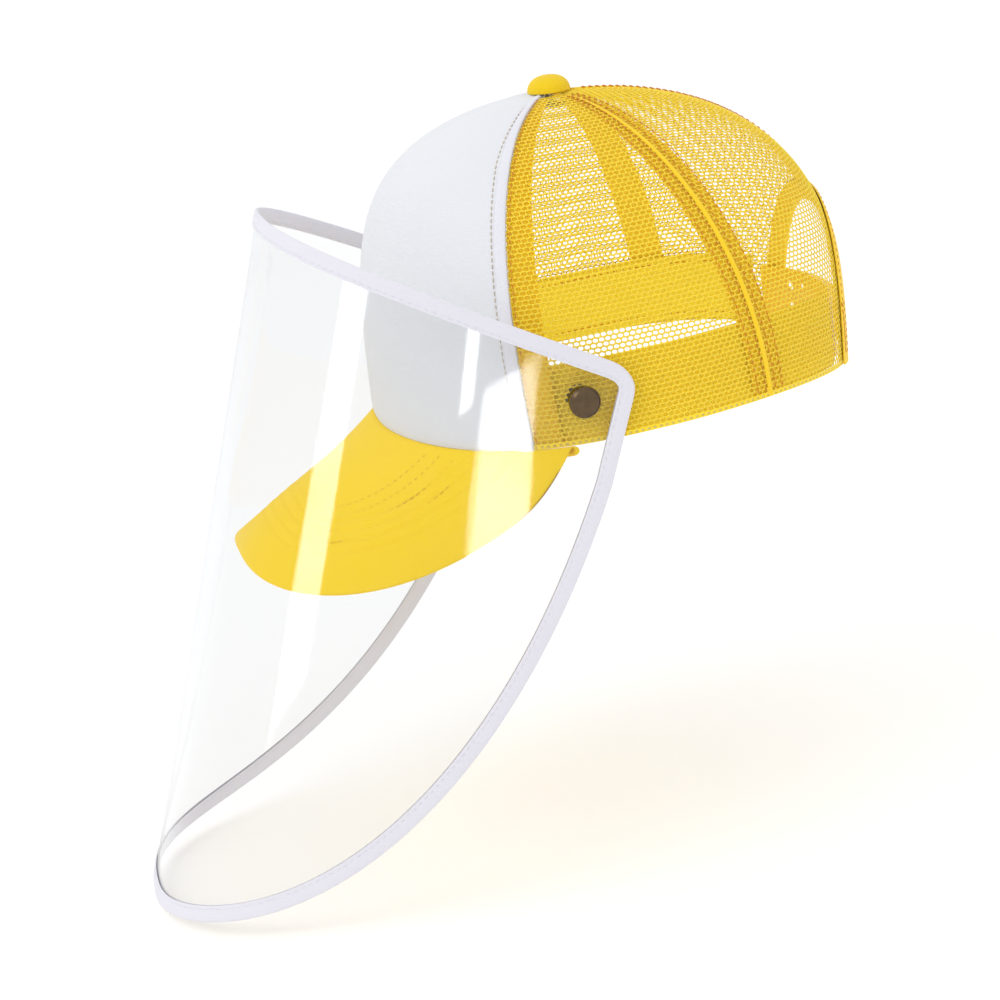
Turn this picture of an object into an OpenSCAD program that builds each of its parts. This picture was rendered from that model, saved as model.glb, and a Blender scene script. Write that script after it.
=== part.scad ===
// Trucker cap with a clear face shield that hangs on two press snaps.
// Millimetres. The origin is the middle of the head opening, in the plane of
// the lower edge. The visor points to -Y, +X is the wearer's left, +Z is up.

/* [Crown] */
// Length of the head opening, front to back
opening_l = 200; // [180:1:240]
// Width of the head opening, side to side
opening_w = 167; // [148:1:200]
// Height of the crown above the lower edge
crown_h = 124; // [104:1:150]
// Rise and fall of the lower edge as it goes round the head
rim_wave = 2; // [0:0.5:4]
// Distance of the top button in front of the middle of the opening
button_fwd = 10; // [-10:1:20]
// Thickness of the foam in the front panel
foam_t = 2.6; // [1.5:0.1:4]
// Thickness of the lining behind the foam
lining_t = 0.6; // [0.3:0.1:1.2]
// Thickness of the mesh fabric
mesh_t = 1; // [0.6:0.1:1.6]
// Width of the tape behind the front seams, all on the mesh side
front_tape_w = 11.5; // [8:0.5:16]
// Width of the tape over each side seam
side_tape_w = 15; // [8:1:22]
// Width of the tape over the back seam
back_tape_w = 12; // [8:1:18]
// Thickness of the seam tape
tape_t = 0.6; // [0.3:0.1:1]
// Width of the white strip along each side of the front panel
strip_w = 4.5; // [3:0.5:8]

/* [Sweatband] */
// Height of the sweatband
band_h = 32; // [24:1:40]
// Thickness of the sweatband
band_t = 1.4; // [0.8:0.1:2.5]

/* [Visor] */
// How far the visor reaches in front of the crown
visor_l = 66; // [45:1:80]
// How far each end of the visor stays inside the side of the head opening
visor_inset = 4.5; // [2:0.5:15]
// Slope of the visor below level
visor_slope = 31; // [15:1:35]
// Bend of the visor: its radius against half of its width
visor_curve = 1.1; // [1.05:0.01:2]
// Thickness of the stiff board inside the visor
board_t = 2; // [1.2:0.1:3]
// Thickness of each fabric cover of the visor
cover_t = 0.8; // [0.5:0.1:1.5]

/* [Back opening] */
// Height of the arch above the lower edge
arch_h = 64; // [50:1:76]
// Width of the arch at the lower edge
arch_w = 76; // [60:1:90]
// Width of the binding round the arch
arch_bind_w = 8; // [5:0.5:12]
// Height of the plastic straps
strap_h = 24; // [18:1:30]
// Thickness of the plastic straps
strap_t = 1.3; // [1:0.1:2]
// Distance between pegs, along and across the strap
peg_pitch = 9.5; // [8:0.5:12]
// Diameter of a peg
peg_d = 3; // [2:0.1:4]
// Diameter of a strap hole
hole_d = 4.4; // [3.4:0.1:5.5]

/* [Face shield] */
// Distance of each side arm of the film outside the head opening
shield_gap = 2; // [1:0.5:20]
// Clearance between the film and the tip of the visor
visor_clear = 13.5; // [5:0.5:40]
// Length of the film at the middle, top to bottom
shield_h = 291; // [180:1:330]
// Thickness of the film
film_t = 0.5; // [0.3:0.1:1]
// Width of the binding tape round the film
tape_fold_w = 6; // [4:0.5:9]
// Radius of the film's rear corners
corner_r = 12; // [8:1:20]
// Upward slope of the film's top edge
shield_pitch = 29; // [15:1:40]
// Forward lean of the film below its top edge
shield_lean = 19; // [5:1:30]

/* [Snaps] */
// Distance of the snaps in front of the middle of the opening
snap_fwd = 32; // [20:1:45]
// Height of the snaps above the lower edge
snap_z = 16.5; // [12:0.5:22]
// Diameter of the visible snap cap
snap_d = 12.5; // [10:0.5:15]
// Running clearance between stud and socket, on the radius
snap_clear = 0.06; // [0.02:0.01:0.1]

/* [Hidden] */

// Shape of the crown: exponents of its rounded outline
rim_ex = 2.2;
front_plan = 2.05;
side_plan = 1.8;
back_plan = 2;
front_rise = 5;
side_rise = 1.8;
back_rise = 3.1;
front_lean = 5.5;
back_bulge = 7.3;
// Seams: angle from the front at the lower edge, and drift towards the top
front_seam = 61;
front_drift = -8.5;
side_seam = 115;
side_drift = -4;
crown_rows = 14;
// Small gap between sewn layers, and the wider one under a folded tape
ply_gap = 0.1;
bind_gap = 0.25;
// How far a seam tape's edges curl inwards
tape_cols = 4;
tape_narrow = 0.55;
// Faces of the plies, counted inwards from the outer face of the crown
foam_in = foam_t;
lining_out = foam_in + ply_gap;
lining_in = lining_out + lining_t;
tape_out = mesh_t + ply_gap * 2;
band_out_front = lining_in + ply_gap * 3;
band_out_side = tape_out + tape_t + ply_gap * 3;
// Angles between which the sweatband steps from the foam to the mesh
band_step = [front_seam + 6, front_seam + 11];
band_lift = 1;
// Button
button_d = 17.5;
button_h = 6.5;
post_hole_r = 4;
post_r = 1.6;
button_wall = 0.9;
core_wall = 0.5;
washer_r = 6.5;
washer_t = 0.6;
washer_drop = 1.3;
// Visor outline
visor_ex = 2.7;
visor_tuck = 2.5;
root_blend = 25;
board_inset = 2.5;
board_skip = 4;
visor_rows = 7;
visor_ends = [177.5, 2.5];
visor_cols = 48;
// Arch and straps
arch_ex = 2.2;
arch_cols = 16;
binding_t = 0.7;
strap_z = 3;
strap_gap = 0.1;
peg_proud = 0.4;
peg_cols = 5;
strap_root = 8;
strap_sink = 2.9;
band_end = 9;
// Film outline
film_ex = 2.7;
low_q = 1.9;
low_e = 0.44;
film_taper = 0.09;
film_back = -8.4;
film_rise = 23.6;
film_end = 1.5;
film_n = 32;
film_tail = 20;
fold_t = 0.5;
fold_gap = 0.2;
// Snap stack, measured outwards along X
flange_r = 5;
flange_t = 1;
nub_r = 3.2;
rivet_r = 1.6;
rivet_fit = 0.05;
socket_r = 5.4;
socket_wall = 0.6;
socket_gap = 0.3;
// How far the stud's flange presses into the mesh
seat_sink = 0.3;
film_gap = 0.35;
soft_stack = 2.2;
cap_h = 3.2;
fine = 64;

// ---------------------------------------------------------------- maths
function mix(a, b, w) = a + (b - a) * w;
function spow(v, e) = sign(v) * pow(abs(v), e);
function ramp(v, lo, hi) = let(u = min(max((v - lo) / (hi - lo), 0), 1)) u * u * (3 - 2 * u);
function unit(v) = v / norm(v);
function around(t, f, s, b) = mix(s, cos(t) > 0 ? f : b, pow(cos(t), 2));

// ---------------------------------------------------------------- crown surface
// t is the angle from the front towards the wearer's left, a climbs from 0 to 90.
function rim_xy(t) = [opening_w / 2 * spow(sin(t), 2 / rim_ex),
    -opening_l / 2 * spow(cos(t), 2 / rim_ex)];
function rim_z(t) = rim_wave * cos(3 * t);
function plan_ex(t) = around(t, front_plan, side_plan, back_plan);
function rise_ex(t) = around(t, front_rise, side_rise, back_rise);
function crown_pt(t, a) = let(
    r = rim_xy(t),
    up = sin(a),
    out = pow(max(1 - pow(up, rise_ex(t)), 0), 1 / plan_ex(t)),
    push = around(t, front_lean, 0, back_bulge) * up * out)
    [r.x * out, (r.y + button_fwd) * out - button_fwd + push,
        rim_z(t) * (1 - up) + crown_h * up];
function crown_dir(t, a) = let(
    e = 0.6,
    along = crown_pt(t + e, a) - crown_pt(t - e, a),
    climb = crown_pt(t, a + e) - crown_pt(t, max(a - e, 0)))
    unit(cross(along, climb));
// Point on the crown, moved outwards by lift
function on_crown(t, a, lift) = crown_pt(t, a) + lift * crown_dir(t, a);
// Climb angle at height h above the lower edge
function climb_at(t, h) = asin(min(h / (crown_h - rim_z(t)), 1));
// Climb angle where the panels stop round the button's post
function climb_top(t, hole_r) = let(r = rim_xy(t) + [0, button_fwd])
    asin(pow(1 - pow(hole_r / norm(r), plan_ex(t)), 1 / rise_ex(t)));
// Angle that one millimetre takes along the lower edge
function per_mm(t) = let(e = 1, r = rim_xy(t + e) - rim_xy(t - e)) 2 * e / norm(r);
function at_front_seam(s) = front_seam + front_drift * s;
function at_side_seam(s) = side_seam + side_drift * s;

// ---------------------------------------------------------------- arch
// Half angle of the arch at the lower edge
arch_half = asin(pow(arch_w / opening_w, rim_ex / 2));
function arch_height(t) = let(k = min(abs(180 - abs(t)) / arch_half, 1))
    arch_h * pow(1 - pow(k, arch_ex), 1 / arch_ex);
// Point beside the arch edge: b runs 0 to 180 round the arch, w mm outside it
function by_arch(b, w, lift) = let(
    half = arch_half + w * per_mm(180 - arch_half),
    t = 180 + half * spow(-cos(b), 2 / arch_ex),
    h = (arch_h + w) * pow(sin(b), 2 / arch_ex))
    on_crown(t, climb_at(t, h), lift);

// ---------------------------------------------------------------- shells
// A closed skin between two matching grids of points, outer and inner.
// Columns run to the right and rows run up, seen from the outer side.
module shell(outer, inner, rows, cols, loop = false) {
    n = cols + (loop ? 0 : 1);
    k = (rows + 1) * n;
    o = function(i, j) i * n + j % n;
    q = function(i, j) k + i * n + j % n;
    quads = concat(
        [for (i = [0:rows - 1], j = [0:cols - 1]) [o(i, j), o(i + 1, j), o(i + 1, j + 1), o(i, j + 1)]],
        [for (i = [0:rows - 1], j = [0:cols - 1]) [q(i, j), q(i, j + 1), q(i + 1, j + 1), q(i + 1, j)]],
        [for (j = [0:cols - 1]) [o(0, j), o(0, j + 1), q(0, j + 1), q(0, j)]],
        [for (j = [0:cols - 1]) [o(rows, j + 1), o(rows, j), q(rows, j), q(rows, j + 1)]],
        loop ? [] : [for (i = [0:rows - 1]) [o(i + 1, 0), o(i, 0), q(i, 0), q(i + 1, 0)]],
        loop ? [] : [for (i = [0:rows - 1]) [o(i, cols), o(i + 1, cols), q(i + 1, cols), q(i, cols)]]);
    tris = [for (f = quads, s = [0, 1]) s == 0 ? [f[0], f[1], f[2]] : [f[0], f[2], f[3]]];
    polyhedron(points = concat(outer, inner), faces = tris, convexity = 8);
}

// A crown panel: cols is a list of functions that give each column's angle
module panel(columns, rows, lift_out, lift_in, hole_r) {
    grid = function(lift) [for (i = [0:rows], j = [0:len(columns) - 1])
        let(s = i / rows, t = columns[j](s),
            low = climb_at(t, columns[j](0) > 180 - arch_half ? arch_height(columns[j](0)) : 0),
            a = mix(low, climb_top(t, hole_r), s))
        on_crown(t, a, lift)];
    shell(grid(lift_out), grid(lift_in), rows, len(columns) - 1);
}

function spread(n, left, right) =
    [for (j = [0:n]) function(s) mix(left(s), right(s), j / n)];

// The mirror image on the wearer's right
module other_side() {
    mirror([1, 0, 0]) children();
}

// ---------------------------------------------------------------- crown pieces
module front_foam() {
    color("white")
    panel(spread(22, function(s) -at_front_seam(s), function(s) at_front_seam(s)),
        crown_rows, 0, -foam_in, post_hole_r);
}

module front_lining() {
    color("gainsboro")
    panel(spread(22, function(s) -at_front_seam(s), function(s) at_front_seam(s)),
        crown_rows, -lining_out, -lining_in, post_hole_r + 1);
}

module front_strip() {
    color("whitesmoke")
    panel(spread(2, function(s) at_front_seam(s) - strip_w * per_mm(front_seam) * (1 - s * 0.4),
            function(s) at_front_seam(s)),
        crown_rows, bind_gap + tape_t, bind_gap, button_d / 2 + 1);
}

module front_strip_left() {
    front_strip();
}

module front_strip_right() {
    other_side() front_strip();
}

module side_mesh() {
    color("gold")
    difference() {
        panel(spread(12, function(s) at_front_seam(s) + ply_gap * per_mm(front_seam), function(s) at_side_seam(s)),
            crown_rows, 0, -mesh_t, post_hole_r);
        along_snap(snap_seat, snap_film) circle(seat_r, $fn = fine);
        along_snap(snap_seat - soft_stack * 2, snap_seat + nub_h) circle(rivet_r + ply_gap, $fn = fine);
    }
}

module side_mesh_left() {
    side_mesh();
}

module side_mesh_right() {
    other_side() side_mesh();
}

module back_mesh() {
    plain = 5;
    start = function(s) at_side_seam(s) + ply_gap * per_mm(side_seam);
    color("gold")
    panel(concat(
            [for (j = [0:plain - 1]) function(s) mix(start(s), 180 - arch_half, j / plain)],
            [for (j = [0:arch_cols]) function(s) 180 - arch_half * pow(cos(90 * j / arch_cols), 2 / arch_ex)]),
        crown_rows, 0, -mesh_t, post_hole_r);
}

module back_mesh_left() {
    back_mesh();
}

module back_mesh_right() {
    other_side() back_mesh();
}

// A tape behind a seam, narrowing towards the button. It runs from left to right,
// in millimetres beside the seam.
module seam_tape(seam, left, right, low) {
    rows = crown_rows;
    grid = function(lift) [for (i = [0:rows], j = [0:tape_cols])
        let(s = i / rows,
            t = seam(s),
            a = mix(climb_at(t, low), climb_top(t, button_d / 2), s),
            degree = norm(crown_pt(t + 0.5, a) - crown_pt(t - 0.5, a)),
            off = mix(left, right, j / tape_cols) * (1 - tape_narrow * pow(s, 3)))
        on_crown(t + off / degree, a, lift)];
    color("goldenrod")
    shell(grid(-tape_out), grid(-tape_out - tape_t), rows, tape_cols);
}

module seam_tape_front_left() {
    seam_tape(function(s) at_front_seam(s), ply_gap * 4, front_tape_w, 0.5);
}

module seam_tape_front_right() {
    other_side() seam_tape_front_left();
}

module seam_tape_side_left() {
    seam_tape(function(s) at_side_seam(s), -side_tape_w / 2, side_tape_w / 2, 0.5);
}

module seam_tape_side_right() {
    other_side() seam_tape_side_left();
}

module seam_tape_back() {
    seam_tape(function(s) 180, -back_tape_w / 2, back_tape_w / 2, arch_h + arch_bind_w + 1);
}

// ---------------------------------------------------------------- sweatband
band_from = 180 - arch_half - band_end;

module sweatband() {
    cols = 96;
    rows = 3;
    depth = function(t) mix(band_out_front, band_out_side, ramp(abs(t), band_step[0], band_step[1]));
    grid = function(extra) [for (i = [0:rows], j = [0:cols])
        let(t = mix(-band_from, band_from, j / cols))
        on_crown(t, climb_at(t, mix(band_lift, band_h, i / rows)), -depth(t) - extra)];
    color("khaki")
    difference() {
        shell(grid(0), grid(band_t), rows, cols);
        for (m = [0, 1]) mirror([m, 0, 0]) {
            along_snap(0, snap_seat - soft_stack) circle(flange_r + ply_gap * 4, $fn = fine);
            along_snap(0, snap_seat + nub_h) circle(rivet_r + ply_gap, $fn = fine);
        }
    }
}

// ---------------------------------------------------------------- visor
// Front edge of the crown at sideways place x, as an angle from the front
function rim_angle(x) = asin(pow(min(abs(x) / (opening_w / 2), 1), rim_ex / 2)) * sign(x);
visor_half = opening_w / 2 - visor_inset;
visor_r = visor_half * visor_curve;
visor_root = rim_xy(rim_angle(visor_half)).y - 1;
visor_reach = opening_l / 2 + visor_l + visor_root;
function visor_sheet(x, y) = -(visor_r - sqrt(visor_r * visor_r - x * x))
    - tan(visor_slope) * (-y - opening_l / 2);
// g runs 0 to 180 from the wearer's left to the right, r from crown to edge
function visor_pt(g, r) = let(
    x = visor_half * spow(cos(g), 2 / visor_ex),
    rim = rim_xy(rim_angle(x)).y,
    far = visor_root - visor_reach * pow(sin(g), 2 / visor_ex),
    y = mix(rim + visor_tuck, min(far, rim - 1), r),
    gap = rim_z(rim_angle(x)) - ply_gap * 1.5 - visor_sheet(x, rim))
    [x, y, visor_sheet(x, min(y, rim)) + gap * pow(max(1 - max(rim - y, 0) / root_blend, 0), 2)];
function visor_dir(g, r) = let(
    e = 0.5,
    u = visor_pt(min(g + e, 180), r) - visor_pt(max(g - e, 0), r),
    v = visor_pt(g, r + 0.02) - visor_pt(g, r - 0.02))
    unit(cross(u, v));
function on_visor(g, r, lift) = visor_pt(g, r) + lift * visor_dir(g, r);
// Share of the visor's width that w millimetres take at g
function visor_share(g, w) = w / norm(visor_pt(g, 1) - visor_pt(g, 0));

visor_stack = 2 * cover_t + board_t + 2 * ply_gap;

// Rows of the covers: out to the edge, then down or up the edge to its middle
module visor_cover(face, back, lip) {
    rows = visor_rows;
    grid = function(inside) [for (i = [0:rows + 1], j = [0:visor_cols])
        let(g = mix(visor_ends[0], visor_ends[1], j / visor_cols),
            trim = inside ? visor_share(g, cover_t) : 0,
            r = min(i, rows) / rows * (1 - trim),
            lift = i > rows ? lip : (inside ? back : face))
        on_visor(g, r, lift)];
    if (face > back) shell(grid(true), grid(false), rows + 1, visor_cols);
    else shell(grid(false), grid(true), rows + 1, visor_cols);
}

module visor_top_cover() {
    color("yellow")
    visor_cover(0, -cover_t, -visor_stack / 2 + ply_gap / 2);
}

module visor_under_cover() {
    color("khaki")
    visor_cover(-visor_stack, -visor_stack + cover_t, -visor_stack / 2 - ply_gap / 2);
}

module visor_board() {
    top = -cover_t - ply_gap;
    grid = function(lift) [for (i = [0:visor_rows], j = [board_skip:visor_cols - board_skip])
        let(g = mix(visor_ends[0], visor_ends[1], j / visor_cols),
            r = i / visor_rows * (1 - visor_share(g, board_inset)))
        on_visor(g, r, lift)];
    color("dimgray")
    shell(grid(top - board_t), grid(top), visor_rows, visor_cols - 2 * board_skip);
}

// ---------------------------------------------------------------- button
module at_button() {
    translate([0, -button_fwd, crown_h + ply_gap * 1.5]) children();
}

// Half an ellipse, solid from the axis out
module dome_profile(r, h) {
    intersection() {
        scale([1, h / r]) circle(r, $fn = fine);
        square([r, h]);
    }
}

module crown_button() {
    color("gold")
    at_button() rotate_extrude($fn = fine) difference() {
        dome_profile(button_d / 2, button_h);
        translate([0, -0.01]) dome_profile(button_d / 2 - button_wall, button_h - button_wall);
    }
}

module button_core() {
    r = button_d / 2 - button_wall - ply_gap;
    h = button_h - button_wall - ply_gap;
    color("silver")
    at_button() rotate_extrude($fn = fine) difference() {
        dome_profile(r, h);
        translate([0, -0.01]) dome_profile(r - core_wall, h - core_wall);
    }
}

// The rivet's head touches the inside of the core, and its washer lies under the crown
rivet_head_r = post_r * 2;
rivet_head_t = 0.6;
core_in_r = button_d / 2 - button_wall - ply_gap - core_wall;
core_in_h = button_h - button_wall - ply_gap - core_wall;
rivet_top = core_in_h * sqrt(1 - pow(rivet_head_r / core_in_r, 2)) - ply_gap;
washer_z = -lining_in - tape_t - washer_drop;
rivet_foot = washer_z - washer_t - ply_gap - rivet_head_t;

module button_rivet() {
    color("silver")
    at_button() {
        translate([0, 0, rivet_top - rivet_head_t]) cylinder(r = rivet_head_r, h = rivet_head_t, $fn = fine);
        translate([0, 0, rivet_foot]) cylinder(r = post_r, h = rivet_top - rivet_foot, $fn = fine);
        translate([0, 0, rivet_foot]) cylinder(r = post_r * 1.6, h = rivet_head_t, $fn = fine);
    }
}

module button_washer() {
    color("silver")
    at_button() translate([0, 0, washer_z - washer_t]) difference() {
        cylinder(r = washer_r, h = washer_t, $fn = fine);
        translate([0, 0, -1]) cylinder(r = post_r + rivet_fit, h = washer_t + 2, $fn = fine);
    }
}

// ---------------------------------------------------------------- arch binding
module arch_binding() {
    cols = 2 * arch_cols;
    over = bind_gap + binding_t;
    // Outer and inner face of the folded tape, from the outside layer round the edge
    face = [[arch_bind_w, over], [-over, over], [-over, -mesh_t - over], [arch_bind_w, -mesh_t - over]];
    back = [[arch_bind_w, bind_gap], [-bind_gap, bind_gap], [-bind_gap, -mesh_t - bind_gap],
        [arch_bind_w, -mesh_t - bind_gap]];
    grid = function(p) [for (i = [0:3], j = [0:cols]) by_arch(180 * j / cols, p[i][0], p[i][1])];
    color("orange")
    shell(grid(back), grid(face), 3, cols);
}

// ---------------------------------------------------------------- straps
// The straps lie on a circle through the middle of the back and the arch's two feet
back_mid = crown_pt(180, climb_at(180, strap_z + strap_h / 2)).y;
back_foot = crown_pt(180 - arch_half, climb_at(180 - arch_half, strap_z + strap_h / 2));
strap_r = (pow(back_foot.x, 2) + pow(back_mid - back_foot.y, 2)) / (2 * (back_mid - back_foot.y));
strap_c = back_mid - strap_r;
strap_half = asin(back_foot.x / strap_r);
tip_r = strap_h * 0.55;
hole_strap_r = strap_r - strap_sink;
peg_strap_r = hole_strap_r - strap_t - strap_gap;
// Angle of one millimetre and of one peg pitch along the straps
strap_mm = 180 / PI / strap_r;
peg_step = peg_pitch * strap_mm;
root_step = strap_root * strap_mm;
// Angle from the middle, towards the wearer's left, of the first shared peg
peg_first = -peg_step;

// A curved bar from angle a0 to a1, measured from the back towards the left
module strap_arc(r, a0, a1) {
    translate([0, strap_c, strap_z]) rotate([0, 0, 90 - max(a0, a1)])
        rotate_extrude(angle = abs(a1 - a0), $fn = 180)
            translate([r - strap_t, 0]) square([strap_t, strap_h]);
}

// The bar from its sewn root to a rounded tip
module strap_bar(r, root, tip) {
    turn = sign(tip - root) * tip_r * strap_mm;
    difference() {
        strap_arc(r, root, tip);
        translate([0, strap_c, strap_z + strap_h / 2]) rotate([0, 0, 90 - tip + turn]) rotate([0, 90, 0])
            difference() {
                translate([-strap_h, tip > root ? -strap_h : 0, strap_r / 2])
                    cube([strap_h * 2, strap_h, strap_r]);
                cylinder(r = tip_r, h = strap_r * 2, $fn = fine);
            }
    }
}

// Cylinders that stand on the strap's circle at each peg place
module at_pegs(from, count, r0, r1, d) {
    for (i = [0:count - 1], row = [-1, 1])
        translate([0, strap_c, strap_z + strap_h / 2 + row * peg_pitch / 2])
            rotate([0, 0, 90 - from - i * peg_step]) rotate([0, 90, 0])
                translate([0, 0, r0]) cylinder(d = d, h = r1 - r0, $fn = fine);
}

module peg_strap() {
    color("gold")
    union() {
        strap_bar(peg_strap_r, strap_half + root_step, peg_first - peg_step * 0.7);
        at_pegs(peg_first, peg_cols, peg_strap_r - strap_t / 2, hole_strap_r + peg_proud, peg_d);
    }
}

module hole_strap() {
    color("yellow")
    difference() {
        strap_bar(hole_strap_r, -strap_half - root_step, peg_first + peg_step * 3.6);
        at_pegs(peg_first - peg_step * 2, peg_cols + 1, strap_r / 2, strap_r * 2, hole_d);
    }
}

// ---------------------------------------------------------------- film surface
shield_w = opening_w + 2 * shield_gap;
// Reach of the film's top edge in front of its rear corners, to clear the visor
shield_u = (opening_l / 2 + visor_l + visor_clear + film_back
    - (film_rise + tan(visor_slope) * visor_l) * tan(shield_lean))
    / (cos(shield_pitch) + sin(shield_pitch) * tan(shield_lean));
// The top edge as a flat curve: sideways place and reach, walked from the nose
function nose_pt(g) = [shield_w / 2 * pow(cos(g), 2 / film_ex), shield_u * pow(sin(g), 2 / film_ex)];
nose_pts = [for (i = [0:film_n]) nose_pt(90 * pow(1 - i / film_n, 1.6))];
walk = [for (i = 0, s = 0; i <= film_n; s = s + (i < film_n ? norm(nose_pts[i + 1] - nose_pts[i]) : 0),
    i = i + 1) s];
half_len = walk[film_n];
film_x = concat([for (i = [0:film_n]) [walk[i], nose_pts[i].x]], [[half_len + film_tail, shield_w / 2]]);
film_f = concat([for (i = [0:film_n]) [walk[i], nose_pts[i].y]], [[half_len + film_tail, -film_tail]]);
function film_top(s) = let(f = lookup(abs(s), film_f))
    [sign(s) * lookup(abs(s), film_x), film_back - f * cos(shield_pitch), film_rise + f * sin(shield_pitch)];
// All the straight lines of the film meet at one far point
film_apex = [0, film_back - 0.6 * shield_u * cos(shield_pitch), film_rise + 0.6 * shield_u * sin(shield_pitch)]
    - shield_h / film_taper * [0, sin(shield_lean), cos(shield_lean)];
function film_line(s) = unit(film_apex - film_top(s));
function film_dir(s) = unit(cross(film_top(s + 0.8) - film_top(s - 0.8), film_line(s)));
// s runs along the top edge, positive to the wearer's left, h down the film
function on_film(s, h, lift) = film_top(s) + h * film_line(s) - lift * film_dir(s);
function film_low(s) = shield_h * pow(1 - pow(min(abs(s) / half_len, 1), low_q), low_e);
function film_high(s) = let(e = half_len - abs(s))
    e < corner_r ? corner_r - sqrt(pow(corner_r, 2) - pow(corner_r - e, 2)) : 0;
// Places of the columns: the walk's own points, stopping short of the corner
film_s = [for (i = [-film_n:film_n])
    let(w = abs(i) == film_n ? half_len - film_end : walk[abs(i)]) sign(i) * w];

// ---------------------------------------------------------------- film pieces
module shield_film() {
    rows = 5;
    cols = len(film_s) - 1;
    grid = function(lift) [for (i = [0:rows], j = [0:cols])
        let(s = film_s[j]) on_film(s, mix(film_low(s), film_high(s), i / rows), lift)];
    color([0.8, 0.9, 1, 0.4])
    difference() {
        shell(grid(film_t / 2), grid(-film_t / 2), rows, cols);
        for (m = [0, 1]) mirror([m, 0, 0])
            along_snap(snap_seat, snap_film + cap_h) circle(rivet_r + rivet_fit, $fn = fine);
    }
}

module shield_binding() {
    cols = len(film_s);
    side_steps = 4;
    end_s = half_len - film_end;
    // The film's edge as a closed loop of places on the film
    edge = concat(
        [for (s = film_s) [s, film_high(s)]],
        [for (i = [1:side_steps - 1]) [end_s, mix(film_high(end_s), film_low(end_s), i / side_steps)]],
        [for (i = [1:cols]) [film_s[cols - i], film_low(film_s[cols - i])]],
        [for (i = [1:side_steps - 1]) [-end_s, mix(film_low(end_s), film_high(end_s), i / side_steps)]]);
    n = len(edge);
    inward = [for (i = [0:n - 1]) let(d = unit(edge[(i + 1) % n] - edge[(i + n - 1) % n])) [-d.y, d.x]];
    slot = film_t / 2 + fold_gap;
    over = slot + fold_t;
    face = [[tape_fold_w, over], [-fold_gap - fold_t, over], [-fold_gap - fold_t, -over], [tape_fold_w, -over]];
    back = [[tape_fold_w, slot], [-fold_gap, slot], [-fold_gap, -slot], [tape_fold_w, -slot]];
    grid = function(p) [for (i = [0:3], j = [0:n - 1])
        let(e = edge[j] + p[i][0] * inward[j]) on_film(e.x, e.y, p[i][1])];
    color("white")
    shell(grid(face), grid(back), 3, n, true);
}

// ---------------------------------------------------------------- snaps
// Where the snap pierces the film: reach along the top edge, then distance down
snap_reach = ((snap_fwd + film_back) * cos(shield_lean) + (snap_z - film_rise) * sin(shield_lean))
    / cos(shield_pitch - shield_lean);
snap_down = (film_rise + snap_reach * sin(shield_pitch) - snap_z) / cos(shield_lean);
// Sideways place of the film there, and of the stud's flange on the mesh
snap_film = shield_w / 2 * pow(1 - pow(max(snap_reach, 0) / shield_u, film_ex), 1 / film_ex)
    * (1 - snap_down * film_taper / shield_h);
// Angle at which the crown, at the snap's height, passes the snap
function angle_at(y, lo, hi, n) = let(
    t = (lo + hi) / 2,
    far = crown_pt(t, climb_at(t, snap_z)).y > y)
    n == 0 ? t : angle_at(y, far ? lo : t, far ? t : hi, n - 1);
snap_angle = angle_at(-snap_fwd, 30, 120, 20);
snap_seat = crown_pt(snap_angle, climb_at(snap_angle, snap_z)).x - seat_sink;
nub_h = snap_film - film_t / 2 - film_gap - socket_wall - socket_gap - flange_t - snap_seat;
// Room in the mesh for the stud and the socket
seat_r = socket_r + 0.4;

// Stands a flat outline along X at the snap, from x0 to x1
module along_snap(x0, x1) {
    translate([x0, -snap_fwd, snap_z]) rotate([0, 90, 0])
        linear_extrude(height = x1 - x0) children();
}

module ring(x0, x1, r, bore) {
    along_snap(x0, x1) difference() {
        circle(r, $fn = fine);
        circle(bore, $fn = fine);
    }
}

module snap_post() {
    color("silver")
    union() {
        along_snap(snap_seat - soft_stack - 0.9, snap_seat - soft_stack) circle(flange_r + 0.3, $fn = fine);
        along_snap(snap_seat - soft_stack - 0.1, snap_seat + flange_t + nub_h - 0.2)
            circle(rivet_r, $fn = fine);
    }
}

module snap_stud() {
    color("darkgoldenrod")
    union() {
        ring(snap_seat, snap_seat + flange_t, flange_r, rivet_r + rivet_fit);
        ring(snap_seat + flange_t - 0.1, snap_seat + flange_t + nub_h, nub_r, rivet_r + rivet_fit);
    }
}

module snap_socket() {
    mouth = snap_seat + flange_t + socket_gap;
    color("darkgoldenrod")
    union() {
        ring(mouth, mouth + nub_h + 0.1, socket_r, nub_r + snap_clear);
        ring(mouth + nub_h, mouth + nub_h + socket_wall, socket_r, rivet_r + rivet_fit);
    }
}

module snap_cap() {
    base = snap_film + film_t / 2 + film_gap;
    mouth = snap_seat + flange_t + socket_gap;
    r = snap_d / 2;
    ball = (r * r + cap_h * cap_h) / (2 * cap_h);
    color("saddlebrown")
    union() {
        difference() {
            intersection() {
                translate([base + cap_h - ball, -snap_fwd, snap_z]) rotate([0, 90, 0]) sphere(ball, $fn = fine);
                along_snap(base, base + cap_h + 1) circle(r, $fn = fine);
            }
            translate([base + cap_h + 0.9, -snap_fwd, snap_z]) sphere(1.5, $fn = fine);
        }
        along_snap(mouth + nub_h + 0.05, base + 0.5) circle(rivet_r, $fn = fine);
    }
}

module snap_post_left() {
    snap_post();
}

module snap_post_right() {
    other_side() snap_post();
}

module snap_stud_left() {
    snap_stud();
}

module snap_stud_right() {
    other_side() snap_stud();
}

module snap_socket_left() {
    snap_socket();
}

module snap_socket_right() {
    other_side() snap_socket();
}

module snap_cap_left() {
    snap_cap();
}

module snap_cap_right() {
    other_side() snap_cap();
}

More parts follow.
